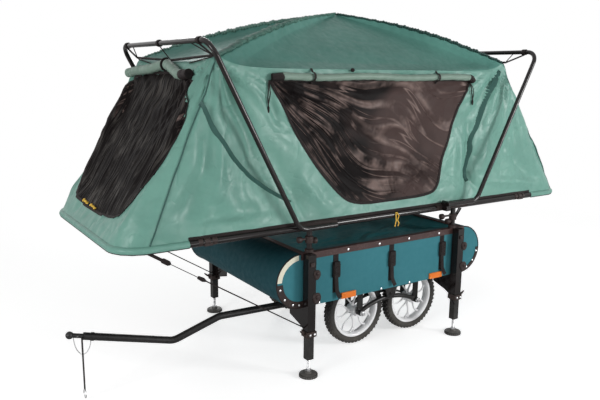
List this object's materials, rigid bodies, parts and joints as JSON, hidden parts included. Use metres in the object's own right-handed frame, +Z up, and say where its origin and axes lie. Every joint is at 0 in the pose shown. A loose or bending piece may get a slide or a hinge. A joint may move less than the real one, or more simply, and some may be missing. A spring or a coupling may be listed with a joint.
{
  "type": "folding camper trailer",
  "caption": "Small bicycle-towed cargo box on four wheels with drop legs, a fold-out bed and a hooped tent on top, and a bent tow tube.",
  "frame": {"origin": "on the floor under the middle of the overall length and width", "axes": "+X forward to the hitch, +Y to the left side, +Z up from the floor"},
  "size_m": [2.3941, 0.923, 1.426],
  "materials": {
    "frame": "satin",
    "steel": "satin",
    "panel": "satin",
    "guard": "matt",
    "tent": "matt",
    "mesh": "matt",
    "webbing": "matt",
    "deck": "matt",
    "mag": "gloss",
    "tyre": "matt",
    "tape": "satin",
    "boot": "matt",
    "reflector": "gloss"
  },
  "bodies": {
    "chassis": {"top_frame": "frame", "floor_frame": "frame", "side_panel_left": "panel", "side_panel_right": "panel", "front_skin": "panel", "rear_skin": "panel", "floor": "guard", "leg_sleeves": "frame", "corner_guards": "guard", "beam_left": "frame", "beam_right": "frame", "beam_hangers": "frame", "drawbar": "frame", "drawbar_clamp": "frame", "hitch_head": "frame", "safety_strap": "webbing", "strap_ring": "steel", "pin_wire": "steel", "bed_masts": "frame", "mid_rails": "frame", "mid_deck": "deck", "hoop_bolts": "steel", "reflectors": "reflector", "cargo_straps": "webbing", "cargo_cover": "webbing", "reflective_tape": "tape", "leg_locks": "guard", "mast_knobs": "webbing", "rail_boots": "boot", "tent_mid_front": "tent", "tent_mid_rear": "tent", "mesh_mid_front": "mesh", "mesh_mid_rear": "mesh"},
    "front_end": {"front_rails": "frame", "front_deck": "deck", "tent_front": "tent", "mesh_front": "mesh", "front_stays": "webbing"},
    "rear_end": {"rear_rails": "frame", "rear_deck": "deck", "tent_rear": "tent", "mesh_rear": "mesh"},
    "front_hoop": {"front_hoop": "frame"},
    "rear_hoop": {"rear_hoop": "frame"},
    "wheel_front_left": {"wheel_front_left": "mag", "tyre_front_left": "tyre"},
    "wheel_front_right": {"wheel_front_right": "mag", "tyre_front_right": "tyre"},
    "wheel_rear_left": {"wheel_rear_left": "mag", "tyre_rear_left": "tyre"},
    "wheel_rear_right": {"wheel_rear_right": "mag", "tyre_rear_right": "tyre"},
    "leg_front_left": {"leg_front_left": "frame"},
    "leg_front_right": {"leg_front_right": "frame"},
    "leg_rear_left": {"leg_rear_left": "frame"},
    "leg_rear_right": {"leg_rear_right": "frame"}
  },
  "joints": [
    {"name": "front_fold", "type": "hinge", "parent": "chassis", "child": "front_end", "pos_m": [0.40292, 0, 0.626], "axis": [0, -1, 0], "range_deg": [0, 180], "deforming": ["tent_front", "mesh_front", "tent_mid_front", "mesh_mid_front", "front_stays"]},
    {"name": "rear_fold", "type": "hinge", "parent": "chassis", "child": "rear_end", "pos_m": [-0.51108, 0, 0.641], "axis": [0, 1, 0], "range_deg": [0, 180], "deforming": ["tent_rear", "mesh_rear", "tent_mid_rear", "mesh_mid_rear"]},
    {"name": "front_hoop_swing", "type": "hinge", "parent": "chassis", "child": "front_hoop", "pos_m": [0.25292, 0, 0.6], "axis": [0, -1, 0], "range_deg": [0, 118.1]},
    {"name": "rear_hoop_swing", "type": "hinge", "parent": "chassis", "child": "rear_hoop", "pos_m": [-0.36108, 0, 0.625], "axis": [0, 1, 0], "range_deg": [0, 118.1]},
    {"name": "wheel_front_left_spin", "type": "hinge", "parent": "chassis", "child": "wheel_front_left", "pos_m": [-0.00708, 0.247, 0.15], "axis": [0, 1, 0], "continuous": true},
    {"name": "wheel_front_right_spin", "type": "hinge", "parent": "chassis", "child": "wheel_front_right", "pos_m": [-0.00708, -0.247, 0.15], "axis": [0, 1, 0], "continuous": true},
    {"name": "wheel_rear_left_spin", "type": "hinge", "parent": "chassis", "child": "wheel_rear_left", "pos_m": [-0.33308, 0.247, 0.15], "axis": [0, 1, 0], "continuous": true},
    {"name": "wheel_rear_right_spin", "type": "hinge", "parent": "chassis", "child": "wheel_rear_right", "pos_m": [-0.33308, -0.247, 0.15], "axis": [0, 1, 0], "continuous": true},
    {"name": "leg_front_left_slide", "type": "slide", "parent": "chassis", "child": "leg_front_left", "axis": [0, 0, 1], "range_m": [0, 0.14]},
    {"name": "leg_front_right_slide", "type": "slide", "parent": "chassis", "child": "leg_front_right", "axis": [0, 0, 1], "range_m": [0, 0.14]},
    {"name": "leg_rear_left_slide", "type": "slide", "parent": "chassis", "child": "leg_rear_left", "axis": [0, 0, 1], "range_m": [0, 0.14]},
    {"name": "leg_rear_right_slide", "type": "slide", "parent": "chassis", "child": "leg_rear_right", "axis": [0, 0, 1], "range_m": [0, 0.14]}
  ],
  "couplings": [
    {"joint": "front_hoop_swing", "follows": "front_fold", "ratio": 0.65556},
    {"joint": "rear_hoop_swing", "follows": "rear_fold", "ratio": 0.65556}
  ]
}
